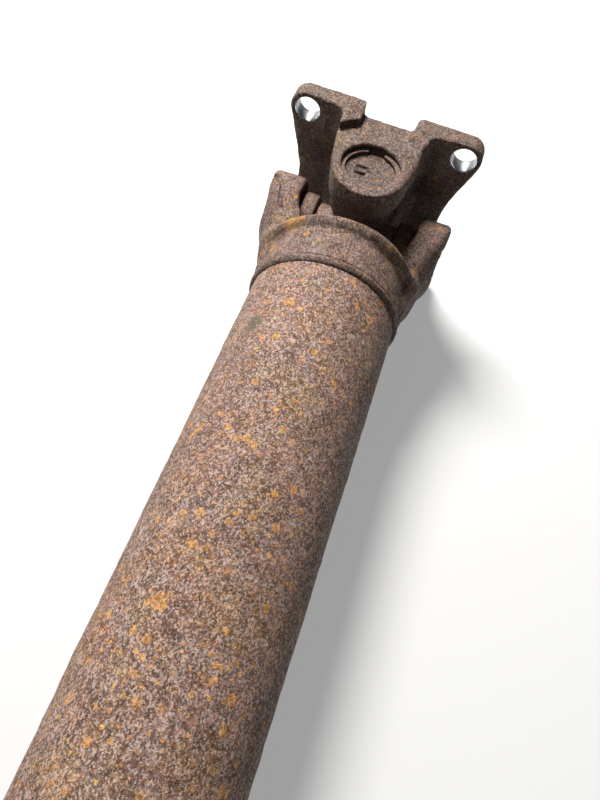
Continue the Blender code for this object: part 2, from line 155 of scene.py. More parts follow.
def outline_field(points, u, v):
    """Signed distance to a closed outline, for every u against every v."""
    u, v = np.broadcast_arrays(u, v)
    nearest = np.full(u.shape, np.inf, dtype=np.float32)
    inside = np.zeros(u.shape, dtype=bool)
    for (au, av), (bu, bv) in zip(points, points[1:] + points[:1]):
        du, dv = bu - au, bv - av
        along = np.clip(((u - au) * du + (v - av) * dv) / (du * du + dv * dv + 1e-12), 0.0, 1.0)
        nearest = np.minimum(nearest, (u - au - along * du) ** 2 + (v - av - along * dv) ** 2)
        if av != bv:
            crosses = (av > v) != (bv > v)
            inside ^= crosses & (u < (bu - au) * (v - av) / (bv - av) + au)
    return np.where(inside, -1.0, 1.0).astype(np.float32) * np.sqrt(nearest)


class Grid:
    """A box of sample points, kept as three thin arrays."""

    def __init__(self, low, high, step):
        self.low, self.step = np.array(low, dtype=np.float64), step
        axes = [np.arange(a, b + step, step, dtype=np.float32) for a, b in zip(low, high)]
        self.x = axes[0][:, None, None]
        self.y = axes[1][None, :, None]
        self.z = axes[2][None, None, :]
        self.axes = axes

    def turned(self, profile):
        """The solid that a profile of (x, radius) points makes when it is spun about x."""
        radius = np.hypot(self.y, self.z)[0]
        table_step = 0.25
        table_radii = np.arange(0.0, radius.max() + 2 * table_step, table_step)
        table = outline_field(profile, self.axes[0][:, None], table_radii[None, :])
        index = np.minimum((radius / table_step).astype(int), len(table_radii) - 2)
        part = (radius / table_step - index).astype(np.float32)
        return table[:, index] * (1 - part) + table[:, index + 1] * part

    def grain(self, size, seed):
        """Smooth noise from -1 to 1 whose lumps are about size across."""
        rng = np.random.default_rng(seed)
        weights, counts = [], []
        for axis in self.axes:
            place = (axis - axis[0]) / size
            count = int(place[-1]) + 2
            base = np.minimum(place.astype(int), count - 2)
            part = place - base
            part = part * part * (3 - 2 * part)
            table = np.zeros((len(axis), count), dtype=np.float32)
            table[np.arange(len(axis)), base] = 1 - part
            table[np.arange(len(axis)), base + 1] = part
            weights.append(table)
            counts.append(count)
        noise = rng.uniform(-1, 1, counts).astype(np.float32)
        return np.einsum("ai,bj,ck,ijk->abc", *weights, noise, optimize=True)

    def skin(self, field):
        """One closed mesh round the inside of a field.

        It has a point in each cell, and a quad across each edge, that the surface passes through.
        """
        inside = field < 0
        count = np.zeros([n - 1 for n in field.shape], dtype=np.int8)
        corners = [(i, j, k) for i in (0, 1) for j in (0, 1) for k in (0, 1)]
        for i, j, k in corners:
            count += inside[i:count.shape[0] + i, j:count.shape[1] + j, k:count.shape[2] + k]
        cells = np.argwhere((count > 0) & (count < 8))
        index = np.full(count.shape, -1, dtype=np.int64)
        index[tuple(cells.T)] = np.arange(len(cells))
        total = np.zeros((len(cells), 3))
        crossings = np.zeros(len(cells))
        for a in corners:
            for axis in range(3):
                if a[axis]:
                    continue
                b = tuple(1 if n == axis else a[n] for n in range(3))
                value_a = field[tuple((cells + a).T)]
                value_b = field[tuple((cells + b).T)]
                mixed = (value_a < 0) != (value_b < 0)
                share = value_a[mixed] / (value_a[mixed] - value_b[mixed])
                point = np.tile(np.array(a, dtype=float), (mixed.sum(), 1))
                point[:, axis] += share
                total[mixed] += point
                crossings[mixed] += 1
        points = self.low + self.step * (cells + total / crossings[:, None])
        quads = []
        for axis in range(3):
            first = [slice(1, -1)] * 3
            second = [slice(1, -1)] * 3
            first[axis], second[axis] = slice(0, -1), slice(1, None)
            a, b = inside[tuple(first)], inside[tuple(second)]
            at = np.argwhere(a != b)
            grow = a[tuple(at.T)]
            base = at + 1
            base[:, axis] -= 1
            one, two = (axis + 1) % 3, (axis + 2) % 3
            ring = []
            for back_one, back_two in ((1, 1), (0, 1), (0, 0), (1, 0)):
                cell = base.copy()
                cell[:, one] -= back_one
                cell[:, two] -= back_two
                ring.append(index[tuple(cell.T)])
            quad = np.stack(ring, axis=1)
            quad[~grow] = quad[~grow][:, ::-1]
            quads.append(quad)
        return points, np.concatenate(quads)


# ---------------------------------------------------------------- meshes

def to_world(points, end):
    """Joint frame, in millimetres, to the part's frame, in metres."""
    points = np.asarray(points, dtype=float)
    if end == "rear":
        return (points + (REAR, 0, 0)) * MM
    return (points * (-1, -1, 1) + (FRONT, 0, 0)) * MM


def add_object(name, data):
    made = bpy.data.objects.new(name, data)
    bpy.context.scene.collection.objects.link(made)
    return made


def fast_mesh(name, points, quads):
    """A mesh from arrays of points and of four-sided faces."""
    mesh = bpy.data.meshes.new(name)
    mesh.vertices.add(len(points))
    mesh.vertices.foreach_set("co", np.asarray(points, dtype=np.float32).ravel())
    mesh.loops.add(quads.size)
    mesh.loops.foreach_set("vertex_index", quads.ravel().astype(np.int32))
    mesh.polygons.add(len(quads))
    mesh.polygons.foreach_set("loop_start", np.arange(0, quads.size, 4, dtype=np.int32))
    mesh.update(calc_edges=True)
    mesh.validate()
    return mesh


SLOTS = {entry["node"]: entry["material_slot"] for entry in frame["record"]["subparts"]}


def piece(name, points, faces, surface, body, nodes, sharp=40):
    """Make the mesh of one piece, ride it on its body and let it stand for its CAD nodes."""
    if isinstance(faces, np.ndarray):
        mesh = fast_mesh(name, points, faces)
    else:
        mesh = bpy.data.meshes.new(name)
        mesh.from_pydata([tuple(p) for p in points], [], faces)
    mesh.shade_smooth()
    if sharp:
        mesh.set_sharp_from_angle(angle=math.radians(sharp))
    made = add_object(name, mesh)
    mesh.materials.append(surface)
    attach(made, body)
    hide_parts(*nodes)
    return made


def lattice_noise(points, size, seed):
    """Smooth noise from -1 to 1 at each point, with lumps about size across."""
    count = 32
    table = np.random.default_rng(seed).uniform(-1, 1, (count, count, count))
    place = points / size + 1000.0
    base = np.floor(place).astype(int)
    part = place - base
    part = part * part * (3 - 2 * part)
    total = np.zeros(len(points))
    for i in (0, 1):
        for j in (0, 1):
            for k in (0, 1):
                weight = np.prod(np.where((i, j, k), part, 1 - part), axis=1)
                at = (base + (i, j, k)) % count
                total += weight * table[at[:, 0], at[:, 1], at[:, 2]]
    return total


def roughen(made, seed, *layers):
    """Push a mesh in and out along its normals. Each layer is (depth, size) in millimetres."""
    mesh = made.data
    count = len(mesh.vertices)
    points, normals = np.zeros(count * 3, np.float32), np.zeros(count * 3, np.float32)
    mesh.vertices.foreach_get("co", points)
    mesh.vertex_normals.foreach_get("vector", normals)
    points, normals = points.reshape(-1, 3).astype(float), normals.reshape(-1, 3)
    shift = sum(depth * lattice_noise(points / MM, size, seed + i) for i, (depth, size) in enumerate(layers))
    points += normals * shift[:, None] * MM
    mesh.vertices.foreach_set("co", points.astype(np.float32).ravel())
    mesh.update()


# ---------------------------------------------------------------- materials

RAGGED = 0.6        # how ragged a spot's edge is, as a share of its radius


class Nodes:
    """A short way to write a node tree. Sizes and distances are in millimetres."""

    def __init__(self, name):
        self.material = bpy.data.materials.new(name)
        self.material.use_nodes = True
        self.tree = self.material.node_tree
        self.shader = self.tree.nodes["Principled BSDF"]
        place = self.add("ShaderNodeTexCoord")
        scale = self.add("ShaderNodeVectorMath", operation="SCALE")
        self.tree.links.new(place.outputs["Object"], scale.inputs[0])
        scale.inputs["Scale"].default_value = 1 / MM
        self.place = scale.outputs[0]       # the place on the piece, in millimetres

    def add(self, kind, **settings):
        node = self.tree.nodes.new(kind)
        for key, value in settings.items():
            setattr(node, key, value)
        return node

    def put(self, socket, value):
        if isinstance(value, bpy.types.NodeSocket):
            self.tree.links.new(value, socket)
        else:
            socket.default_value = value

    def vector(self, operation, a, b=(0.0, 0.0, 0.0), c=(0.0, 0.0, 0.0), output=0):
        node = self.add("ShaderNodeVectorMath", operation=operation)
        for socket, value in zip(node.inputs, (a, b, c)):
            self.put(socket, value)
        return node.outputs[output]

    def texture(self, kind, size, place, **inputs):
        node = self.add(kind)
        self.put(node.inputs["Vector"], place)
        self.put(node.inputs["Scale"], 1.0 / size)
        for name, value in inputs.items():
            self.put(node.inputs[name], value)
        return node.outputs

    def split(self, colour):
        """The red, green and blue of a colour."""
        node = self.add("ShaderNodeSeparateColor")
        self.put(node.inputs[0], colour)
        return node.outputs

    def noise(self, size, detail=2.0, roughness=0.5, offset=0.0, place=None):
        """Noise whose lumps are about size across."""
        moved = self.vector("ADD", place or self.place, (offset, offset * 1.7, -offset))
        return self.texture("ShaderNodeTexNoise", size, moved, Detail=detail, Roughness=roughness)["Fac"]

    def ramp(self, value, *stops):
        """Map a value through (position, grey or colour) stops."""
        node = self.add("ShaderNodeValToRGB")
        band = node.color_ramp
        while len(band.elements) < len(stops):
            band.elements.new(0.5)
        for element, (position, colour) in zip(band.elements, stops):
            element.position = position
            element.color = (*colour, 1) if isinstance(colour, tuple) else (colour, colour, colour, 1)
        self.put(node.inputs["Fac"], value)
        return node.outputs["Color"]

    def math(self, operation, a, b=0.0, c=0.0, clamp=False):
        node = self.add("ShaderNodeMath", operation=operation, use_clamp=clamp)
        for socket, value in zip(node.inputs, (a, b, c)):
            self.put(socket, value)
        return node.outputs[0]

    def mix(self, share, a, b, blend="MIX"):
        node = self.add("ShaderNodeMix", data_type="RGBA", blend_type=blend)
        self.put(node.inputs["Factor"], share)
        for socket, value in ((node.inputs[6], a), (node.inputs[7], b)):
            self.put(socket, (*value, 1) if isinstance(value, tuple) else value)
        return node.outputs[2]

    def spots(self, cell, radius, share, offset):
        """Scattered ragged spots: 1 inside them. share is how many cells hold one."""
        warp = self.texture("ShaderNodeTexNoise", radius * 0.8, self.place, Detail=3.0)["Color"]
        pushed = self.vector("MULTIPLY_ADD", warp, (RAGGED * radius * 2,) * 3, self.place)
        moved = self.vector("ADD", pushed, (offset, -offset, offset * 0.6))
        cells = self.texture("ShaderNodeTexVoronoi", cell, moved)
        parts = self.split(cells["Color"])
        size = self.math("MULTIPLY", parts["Green"], radius / cell)
        size = self.math("ADD", size, 0.3 * radius / cell)
        near = self.math("SUBTRACT", size, cells["Distance"])
        near = self.math("MULTIPLY", near, 6.0 * cell / radius, clamp=True)
        chosen = self.math("LESS_THAN", parts["Red"], share)
        return self.math("MULTIPLY", near, chosen, clamp=True)

    def cells(self, size, offset):
        """Three random values for each grain of about this size."""
        moved = self.vector("ADD", self.place, (offset, offset, -offset))
        return self.split(self.texture("ShaderNodeTexVoronoi", size, moved)["Color"])

    def streaks(self, length, width):
        """Noise drawn out along x."""
        node = self.add("ShaderNodeMapping")
        self.put(node.inputs["Vector"], self.place)
        node.inputs["Scale"].default_value = (width / length, 1.0, 1.0)
        return self.noise(width, detail=3, roughness=0.6, place=node.outputs["Vector"])

    def distance_to(self, centre, axes, folded=False):
        """Distance in millimetres to a point, along some axes. folded makes coordinates positive first."""
        place = self.vector("ABSOLUTE", self.place) if folded else self.place
        away = self.vector("MULTIPLY", self.vector("SUBTRACT", place, centre), axes)
        return self.vector("LENGTH", away, output=1)

    def mix_vector(self, share, a, b):
        node = self.add("ShaderNodeMix", data_type="VECTOR")
        self.put(node.inputs["Factor"], share)
        self.put(node.inputs[4], a)
        self.put(node.inputs[5], b)
        return node.outputs[1]

    def bump(self, height, distance, strength, normal=None):
        node = self.add("ShaderNodeBump")
        self.put(node.inputs["Height"], height)
        node.inputs["Distance"].default_value = distance * MM
        node.inputs["Strength"].default_value = strength
        if normal:
            self.put(node.inputs["Normal"], normal)
        return node.outputs["Normal"]

    def surface(self, colour, roughness, metallic, normal):
        """Wire up the shader, and return the material."""
        for name, value in (("Base Color", colour), ("Roughness", roughness), ("Metallic", metallic),
                            ("Normal", normal)):
            self.put(self.shader.inputs[name], value)
        return self.material


def rust(name, tone, orange=1.0, grain=1.0, offset=0.0, worn=None, stain=None, dull=None):
    """Coarse rust: a granular brown skin with broad patches, dark pits and orange spots.

    tone darkens all of it, orange and grain say how much there is of each, and offset shifts the pattern.
    Three optional masks say where bare machined steel shows, with painted reflection streaked into its
    colour, where orange rust has built up, and where the skin is dull and greenish.
    """
    nodes = Nodes(name)

    # the skin: broad patches, redder and greyer places, and a mottle over them
    broad = nodes.noise(30.0, detail=3, roughness=0.6, offset=offset)
    colour = nodes.ramp(broad, (0.36, (0.168, 0.102, 0.058)), (0.46, (0.194, 0.123, 0.108)),
                        (0.55, (0.128, 0.079, 0.066)), (0.66, (0.200, 0.134, 0.082)))
    reddish = nodes.noise(8.0, detail=4, roughness=0.65, offset=offset + 21)
    colour = nodes.mix(nodes.ramp(reddish, (0.50, 0.0), (0.70, 0.8)), colour, (0.118, 0.056, 0.038))
    bloom = nodes.noise(9.0, detail=4, roughness=0.62, offset=offset + 27)
    colour = nodes.mix(nodes.ramp(bloom, (0.50, 0.0), (0.68, 0.6)), colour, (0.225, 0.190, 0.188))
    mottle = nodes.noise(3.4, detail=5, roughness=0.72, offset=offset + 3)
    colour = nodes.mix(0.9, colour, nodes.ramp(mottle, (0.30, 0.22), (0.5, 0.50), (0.70, 0.85)), "OVERLAY")

    # the grains: each has its own lightness and tint, and the highest ones get a painted glint, a highlight
    # painted into the colour
    cells = nodes.cells(0.66, offset)
    fine = nodes.noise(0.45, detail=2, roughness=0.6, offset=offset + 9)
    speck = nodes.math("MULTIPLY_ADD", fine, 0.9, nodes.math("MULTIPLY", cells["Red"], 0.62))
    grains = nodes.ramp(speck, (0.42, (0.36, 0.31, 0.29)), (0.62, (0.78, 0.73, 0.70)),
                        (0.80, (1.06, 1.03, 1.01)), (1.00, (1.40, 1.38, 1.40)))
    tint = nodes.ramp(cells["Green"], (0.0, (0.90, 0.93, 1.04)), (0.50, (1.0, 0.99, 0.98)),
                      (0.80, (1.06, 0.95, 0.82)), (1.0, (1.30, 1.00, 0.62)))
    grains = nodes.mix(1.0, grains, tint, "MULTIPLY")
    colour = nodes.mix(grain, colour, nodes.mix(1.0, colour, grains, "MULTIPLY"))
    # painted highlight: the highest grains are mixed towards a pale grey, as if they caught the light
    painted_glint = nodes.ramp(speck, (0.84, 0.0), (1.0, 0.50 * grain))
    colour = nodes.mix(painted_glint, colour, (0.430, 0.375, 0.355))
    pits = nodes.ramp(nodes.noise(2.0, detail=4, roughness=0.7, offset=offset + 17), (0.30, 1.0), (0.42, 0.0))
    colour = nodes.mix(nodes.math("MULTIPLY", pits, 0.75), colour, (0.040, 0.024, 0.020))
    if dull is not None:
        colour = nodes.mix(dull(nodes), colour, (0.090, 0.078, 0.052))

    # orange spots of three sizes
    spots = nodes.spots(2.3, 0.75, 0.55 * orange, offset)
    for cell, radius, share, shift in ((5.6, 1.6, 0.62, 13), (17.0, 2.9, 0.55, 31)):
        spots = nodes.math("MAXIMUM", spots, nodes.spots(cell, radius, share * orange, offset + shift))
    where = nodes.ramp(nodes.noise(17.0, detail=2, offset=offset + 5), (0.36, 0.45), (0.56, 1.0))
    spots = nodes.math("MULTIPLY", spots, where)
    spots = nodes.math("MULTIPLY", spots, nodes.ramp(speck, (0.45, 0.45), (0.75, 1.0)))
    if stain is not None:
        spots = nodes.math("MAXIMUM", spots, stain(nodes))
    ochre = nodes.ramp(nodes.noise(1.7, detail=3, offset=offset + 11), (0.34, (0.30, 0.130, 0.036)),
                       (0.50, (0.47, 0.240, 0.072)), (0.66, (0.58, 0.350, 0.130)))
    colour = nodes.mix(spots, colour, ochre)
    colour = nodes.mix(1.0, colour, (tone, 0.925 * tone, 0.845 * tone), "MULTIPLY")

    rough = nodes.ramp(speck, (0.45, 0.92), (0.95, 0.62))
    metallic = 0.0
    normal = nodes.bump(mottle, 0.60, 0.65)
    normal = nodes.bump(speck, 0.42, 0.85, normal)
    normal = nodes.bump(pits, -0.35, 0.7, normal)
    normal = nodes.bump(spots, 0.22, 0.6, normal)
    if worn is not None:
        bare = worn(nodes)
        # bare machined steel, whose colour runs in dark and bright streaks along x: painted reflection of the
        # surroundings in the bore walls
        streak = nodes.streaks(14.0, 0.5)
        bare_steel_and_painted_reflection = nodes.ramp(streak, (0.30, (0.14, 0.145, 0.155)), (0.50, (0.30, 0.31, 0.33)),
                           (0.70, (0.60, 0.61, 0.63)))
        colour = nodes.mix(bare, colour, bare_steel_and_painted_reflection)
        rough = nodes.mix(bare, rough, nodes.ramp(streak, (0.3, 0.46), (0.7, 0.30)))
        metallic = nodes.math("MULTIPLY", bare, 0.9)
        normal = nodes.mix_vector(bare, normal, nodes.bump(streak, 0.04, 0.4))
    nodes.shader.inputs["Specular IOR Level"].default_value = 0.4
    return nodes.surface(colour, rough, metallic, normal)


def in_bolt_holes(nodes):
    """1 on the walls of the four bolt holes of a flange, and 0 elsewhere."""
    across = nodes.distance_to((0.0, BOLT_Y, BOLT_Z), (0, 1, 1), folded=True)
    ragged = nodes.math("MULTIPLY", nodes.noise(1.3, detail=3), 1.2)
    edge = nodes.math("SUBTRACT", BOLT_RADIUS + 1.15, nodes.math("ADD", across, ragged))
    return nodes.math("MULTIPLY", edge, 4.0, clamp=True)


def beside_left_arm(nodes):
    """1 where orange rust has built up on the rim of the weld yoke, next to its left arm."""
    away = nodes.distance_to((REAR - 31.5, 28.0, 31.0), (1, 1, 1))
    away = nodes.math("ADD", away, nodes.math("MULTIPLY", nodes.noise(2.2, detail=4, roughness=0.7), 16.0))
    return nodes.math("MULTIPLY", nodes.math("SUBTRACT", 15.5, away), 0.35, clamp=True)


def dull_patch(nodes):
    """1 on one small patch of the tube, a hand's breadth from the yoke."""
    away = nodes.distance_to((REAR - 98.0, 24.0, 29.5), (0.8, 1, 1))
    away = nodes.math("ADD", away, nodes.math("MULTIPLY", nodes.noise(2.5, detail=3), 5.0))
    return nodes.math("MULTIPLY", nodes.math("SUBTRACT", 8.0, away), 0.28, clamp=True)


def coating(name, film, colours, roughness, lumps, metallic=None):
    """A smooth piece under an uneven film, such as grease or dust.

    film is the size, detail and roughness of the film's noise, and colours, roughness and metallic are ramps
    over it. lumps is the size, height and strength of the surface's bumps.
    """
    nodes = Nodes(name)
    size, detail, rough = film
    film = nodes.noise(size, detail, rough)
    size, height, strength = lumps
    normal = nodes.bump(nodes.noise(size, detail=3), height, strength)
    return nodes.surface(nodes.ramp(film, *colours), nodes.ramp(film, *roughness),
                         nodes.ramp(film, *metallic) if metallic else 0.0, normal)


TUBE_RUST = rust("tube_rust", 0.80, dull=dull_patch)
YOKE_RUST = rust("yoke_rust", 0.58, 0.75, 0.80, offset=40, stain=beside_left_arm)
FLANGE_RUST = rust("flange_rust", 0.47, 0.50, 0.80, offset=140, worn=in_bolt_holes)
SPIDER_RUST = rust("spider_rust", 0.75, 0.30, 0.70, offset=200)
SEAL_RUST = rust("seal_rust", 0.55, 0.25, 0.60, offset=240)
WELD_RUST = rust("weld_rust", 0.50, 0.20, 0.70, offset=80)
CUP_RUST = rust("cup_rust", 0.36, 0.35, 1.00, offset=120)
GREASED = coating("greased_steel", (5.0, 4, 0.65),
                  [(0.35, (0.33, 0.31, 0.29)), (0.52, (0.20, 0.15, 0.11)), (0.7, (0.11, 0.065, 0.04))],
                  roughness=[(0.35, 0.3), (0.65, 0.7)], lumps=(0.9, 0.05, 0.5),
                  metallic=[(0.4, 0.85), (0.65, 0.2)])
RUBBER = coating("seal_rubber", (3.0, 5, 0.7),
                 [(0.40, (0.022, 0.020, 0.019)), (0.66, (0.14, 0.085, 0.055))],
                 roughness=[(0.35, 0.6), (0.7, 0.95)], lumps=(0.7, 0.08, 0.6))
PLATED = coating("plated_steel", (3.5, 5, 0.7),
                 [(0.40, (0.50, 0.46, 0.36)), (0.55, (0.33, 0.24, 0.15)), (0.68, (0.22, 0.10, 0.05))],
                 roughness=[(0.35, 0.4), (0.65, 0.85)], lumps=(0.8, 0.07, 0.7),
                 metallic=[(0.42, 0.8), (0.62, 0.1)])


# ---------------------------------------------------------------- forgings

def bore_for_cup(body, along, across):
    """Machine one bearing bore, with its snap ring groove and a chamfered mouth."""
    hole = np.maximum(across - BORE_RADIUS, LUG_INNER - 6 - along)
    groove = np.maximum(across - GROOVE_RADIUS, np.abs(along - GROOVE_MIDDLE) - GROOVE_HALF)
    lip = LUG_OUTER - 0.7
    mouth = np.maximum(across - BORE_RADIUS - (along - lip), lip - along)
    for tool in (hole, groove, mouth):
        body = cut(body, tool, 0.4)
    return body


def softened(points):
    """A smooth closed curve through the points of an outline."""
    count, steps = len(points), 4
    points = np.array(points, dtype=float)
    curve = []
    for i in range(count):
        a, b, c, d = (points[(i + n) % count] for n in (-1, 0, 1, 2))
        for t in np.arange(steps) / steps:
            curve.append(tuple(0.5 * (2 * b + (c - a) * t + (2 * a - 5 * b + 4 * c - d) * t * t
                                      + (3 * b - a - 3 * c + d) * t ** 3)))
    return curve


def flange_outline():
    """The flange from its face, as (y, z): waisted sides, four round ears and the pads between them."""
    quarter = [(WAIST_HALF, 0.0), (WAIST_HALF + 0.2, 8.0), (44.6, 16.5), (46.3, 23.0), (48.4, 29.5)]
    quarter += arc((BOLT_Y, BOLT_Z), PAD_HEIGHT - BOLT_Z, -16, 90, 14)
    quarter += [(NOTCH_HALF, PAD_HEIGHT), (NOTCH_HALF, LUG_OUTER)]
    left = [(-y, z) for y, z in reversed(quarter[1:])]
    lower = [(-y, -z) for y, z in quarter]
    right = [(y, -z) for y, z in reversed(quarter[1:])]
    return quarter + left + lower + right


def flange_lug_outline():
    """A lug of the flange yoke from above, as (x, y): round at its end and flared at the flange."""
    half = [(-22.3, 0.0), (-20.6, 7.6), (-16.3, 13.2), (-10.5, 17.2), (-3.8, 19.5), (4.0, 20.9), (16.0, 22.6),
            (26.0, 23.2), (30.4, 25.4), (33.2, 29.5)]
    return softened(mirrored(half))


def notch_outline():
    """The notch between two pads, as (x, y): deep corners inside, soft ones at its mouth."""
    deep, soft = 3.5, 2.2
    half = [(NOTCH_FLOOR, 0.0)]
    half += arc((NOTCH_FLOOR + deep, NOTCH_HALF - deep), deep, 180, 90, 6)
    half += arc((FLANGE_FACE - soft, NOTCH_HALF + soft), soft, -90, 0, 6)
    half += [(FLANGE_FACE + 5, NOTCH_HALF + soft)]
    return mirrored(half)


def saddle_outline():
    """The web between the flange yoke's lugs, as (x, z)."""
    fillet = 8.0
    half = [(SADDLE_X, 0.0)] + arc((SADDLE_X - fillet, LUG_INNER - fillet), fillet, 0, 90, 8)
    half += [(SADDLE_X - fillet, LUG_INNER + 2), (FLANGE_BACK + 1, LUG_INNER + 2)]
    return mirrored(half)


def flange_yoke_shape(step):
    """A forged flange with two lugs, then machined: seats, notches, scallops, pilot, bores and bolt holes."""
    grid = Grid((-24.5, -EAR_HALF - 2, -PAD_HEIGHT - 2), (FLANGE_FACE + 2, EAR_HALF + 2, PAD_HEIGHT + 2),
                step)
    x, ay, az = grid.x, np.abs(grid.y), np.abs(grid.z)

    # the forging
    plate = outline_field(flange_outline(), grid.y, grid.z)
    plate = smooth_max(plate, FLANGE_BACK - x, 2.0)
    lug_plan = outline_field(flange_lug_outline(), x, grid.y)
    draft = 0.05 * (LUG_OUTER - az)
    lug = smooth_max(smooth_max(lug_plan + draft, az - PAD_HEIGHT, 2.0), LUG_INNER - az, 3.0)
    saddle = smooth_max(outline_field(saddle_outline(), x, grid.z), ay - 21.0, 5.0)
    body = smooth_min(smooth_min(plate, lug, 5.0), saddle, 6.0)
    body = body + 0.26 * grid.grain(15, 1) + 0.15 * grid.grain(5.5, 2) - SCALE
    body = smooth_max(smooth_max(body, az - PAD_HEIGHT - SCALE, 1.0), x - FLANGE_FACE, 0.6)

    # the machining. One side of each spot face is worn, so its edge there is soft.
    from_pin = np.hypot(x, grid.y)
    seat = np.minimum(from_pin - SPOT_FACE_RADIUS, ay - NOTCH_HALF + 0.5)
    worn_edge = np.clip((-grid.y - 9.0) / 7.0, 0.0, 1.0)
    seat = smooth_max(seat, LUG_OUTER - az, 0.8 + 4.0 * worn_edge)
    body = cut(body, seat, 0.8 + 3.7 * worn_edge)
    body = cut(body, np.maximum(outline_field(notch_outline(), x, grid.y), 24 - az), 0.7)
    body = cut(body, np.maximum(np.hypot(x, grid.z) - SCALLOP_RADIUS, 26 - ay), 1.5)
    body = cut(body, np.maximum(np.hypot(grid.y, grid.z) - PILOT_RADIUS, PILOT_FLOOR - x), 0.5)
    body = bore_for_cup(body, az, from_pin)
    from_bolt = np.hypot(ay - BOLT_Y, az - BOLT_Z)
    pits = 0.10 * grid.grain(2.3, 3) + 0.07 * grid.grain(1.4, 4)
    body = body + pits * np.clip((from_bolt - 8.0) / 3.0, 0, 1)
    chamfer = np.clip(FLANGE_BACK + 0.4 - x, 0, 0.6) + np.clip(x - FLANGE_FACE + 0.4, 0, 0.6)
    body = cut(body, from_bolt - BOLT_RADIUS - chamfer, 0.3)
    return grid.skin(body)


# the raised rim of a shaft yoke, from the floor of its fork outwards, as (x, radius)
RIM = [(FORK_FLOOR, 24.0), (FORK_FLOOR, 32.5), (-33.6, 36.6), (-31.8, 39.2), (-30.9, 40.6), (-30.9, 41.4),
       (-31.6, 41.9), (-32.7, 41.8), (-34.3, 40.7), (-35.8, 39.0), (-36.8, 38.4)]


def arm_plan_outline():
    """An arm of a shaft yoke seen along its pin, as (x, z)."""
    half = arc((0, 0), LUG_RADIUS, 0, 95, 16)
    half += [(-8.0, 21.0), (-16.0, 19.3), (-24.0, 17.6), (-33.0, 15.4), (-43.0, 11.4), (-52.0, 6.0),
             (-55.5, 0.0)]
    return mirrored(half[::-1])


def arm_side_outline(root):
    """The same arm from above, as (x, distance from the axis). root is how it ends on the yoke's neck."""
    inner = [(24.0, ARM_INNER), (-3.0, ARM_INNER), (-9.0, 31.2), (-13.5, 28.4), (-19.0, 26.8), (-26.0, 26.0),
             (-36.0, 26.0)]
    outer = [(-33.0, 42.3), (-29.0, 43.9), (-24.0, 46.2), (-18.0, 48.6), (-12.0, 50.0), (0.0, LUG_OUTER),
             (24.0, LUG_OUTER)]
    return inner + root + outer


# a lap in the forging, on the upper side of each left arm: an open line, as (x, y)
LAP = [(5.5, 49.2), (2.6, 45.4), (-1.5, 43.0), (-7.0, 42.0), (-11.5, 40.6), (-14.5, 38.4)]


def line_field(points, u, v):
    """Distance to an open line of points, in a plane."""
    nearest = np.inf
    for (au, av), (bu, bv) in zip(points, points[1:]):
        du, dv = bu - au, bv - av
        along = np.clip(((u - au) * du + (v - av) * dv) / (du * du + dv * dv), 0.0, 1.0)
        nearest = np.minimum(nearest, np.hypot(u - au - along * du, v - av - along * dv))
    return nearest


def shaft_yoke_shape(grid, profile, root):
    """A turned base with two arms, bored for the cups."""
    x, ay, az = grid.x, np.abs(grid.y), np.abs(grid.z)
    base = grid.turned(profile)
    side = outline_field(arm_side_outline(root), x, ay)
    plan = outline_field(arm_plan_outline(), x, grid.z)
    corner_flat = 0.777 * ay + 0.492 * az - 0.392 * np.maximum(x, -24.0) - 48.0
    arm = smooth_max(smooth_max(side, plan, 3.0), corner_flat, 4.0)
    body = smooth_min(base, arm, 6.0)
    body = body + 0.25 * grid.grain(13, 5) + 0.15 * grid.grain(5, 6) - SCALE
    lap_depth, lap_width = 1.9, 0.95
    upper = grid.z > 8
    body = body + lap_depth * np.exp(-(line_field(LAP, x, grid.y) / lap_width) ** 2) * upper
    from_pin = np.hypot(x, grid.z)
    seal_room = np.maximum(from_pin - 19.0, ay - ARM_INNER)
    body = cut(body, seal_room, 0.8)
    body = smooth_max(body, ay - LUG_OUTER, 0.8)
    body = bore_for_cup(body, ay, from_pin)
    return body + 0.10 * grid.grain(2.3, 7) + 0.07 * grid.grain(1.4, 8)


def weld_yoke_shape(step):
    """The yoke on the tube: rim, neck, and a spigot inside the tube."""
    neck_end = span("rear_weld_bead", X)[1] - REAR + FIT
    profile = [(FORK_FLOOR, 0.0)] + RIM + [
        (-38.0, NECK_RADIUS), (neck_end, NECK_RADIUS), (neck_end, SPIGOT_RADIUS), (-66, SPIGOT_RADIUS),
        (-66, SPIGOT_BORE), (-48.0, SPIGOT_BORE), (-44.5, 27.0), (-44.5, 0.0)]
    grid = Grid((-68, -LUG_OUTER - 2, -45), (24.5, LUG_OUTER + 2, 45), step)
    root = [(-44.0, 33.0), (-51.0, 36.0), (-51.5, 37.5), (-46.0, 38.7), (-40.0, 40.0)]
    return grid.skin(shaft_yoke_shape(grid, profile, root))


def slip_yoke_shape(step):
    """The sliding yoke: rim, a sleeve bored right through, and a seat for the plug at the fork's floor."""
    end = FRONT - span("slip_yoke", X)[1]
    seat_end, seat_radius = -46.0, 20.6
    profile = [(seat_end, SLEEVE_BORE), (seat_end, seat_radius), (FORK_FLOOR, seat_radius)] + RIM[:8] + [
        (-36.0, 40.8), (-42.0, 37.6), (-50.0, 30.8), (-57.0, 26.6), (-63.0, SLEEVE_RADIUS),
        (end + 0.8, SLEEVE_RADIUS), (end, SLEEVE_RADIUS - 0.8), (end, SLEEVE_BORE)]
    grid = Grid((end - 2, -LUG_OUTER - 2, -45), (24.5, LUG_OUTER + 2, 45), step)
    root = [(-40.0, 34.0), (-41.0, 37.0), (-37.0, 40.2)]
    return grid.skin(shaft_yoke_shape(grid, profile, root))


